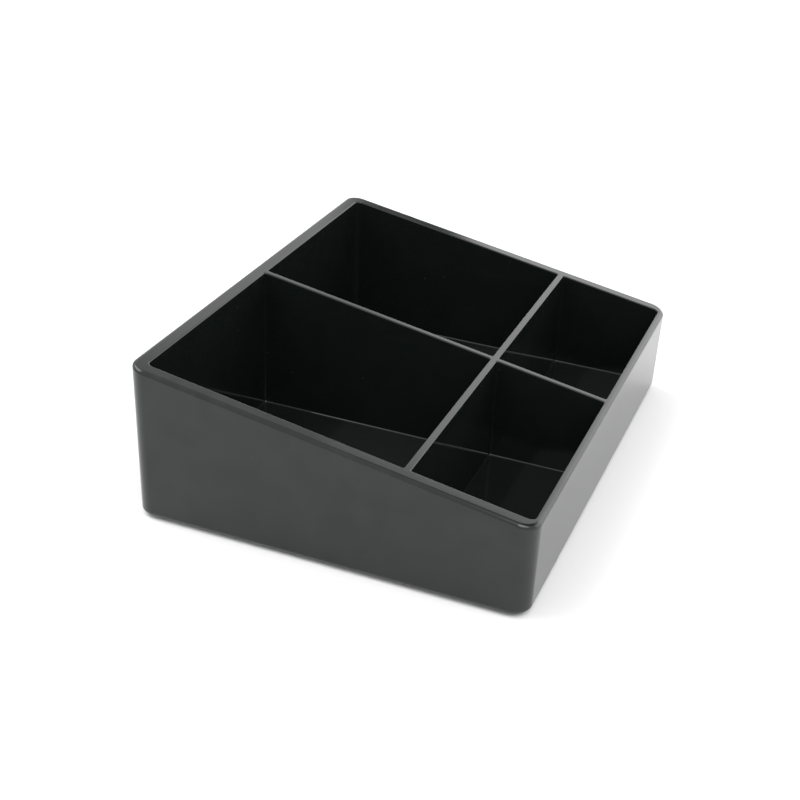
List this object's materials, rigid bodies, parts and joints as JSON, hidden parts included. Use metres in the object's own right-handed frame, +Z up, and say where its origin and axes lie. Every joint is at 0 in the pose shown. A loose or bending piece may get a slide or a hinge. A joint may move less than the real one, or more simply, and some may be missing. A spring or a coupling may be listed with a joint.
{
  "type": "organiser tray",
  "caption": "Open organiser tray with a sloping rim, split by a long divider and a cross divider into deep back and shallow front compartments, on soft feet.",
  "frame": {"origin": "on the ground, at the middle of the bounding box's bottom, under the middle of the tray", "axes": "+Z up, +Y towards the high back wall, +X to the right for someone who looks from the low front to the back"},
  "size_m": [0.1798, 0.139, 0.0572],
  "materials": {
    "black_plastic": "polished inside, satin outside",
    "foot_rubber": "matt"
  },
  "bodies": {
    "root": {"tray": "black_plastic", "foot_front_left": "foot_rubber", "foot_front_right": "foot_rubber", "foot_back_left": "foot_rubber", "foot_back_right": "foot_rubber"}
  },
  "joints": []
}
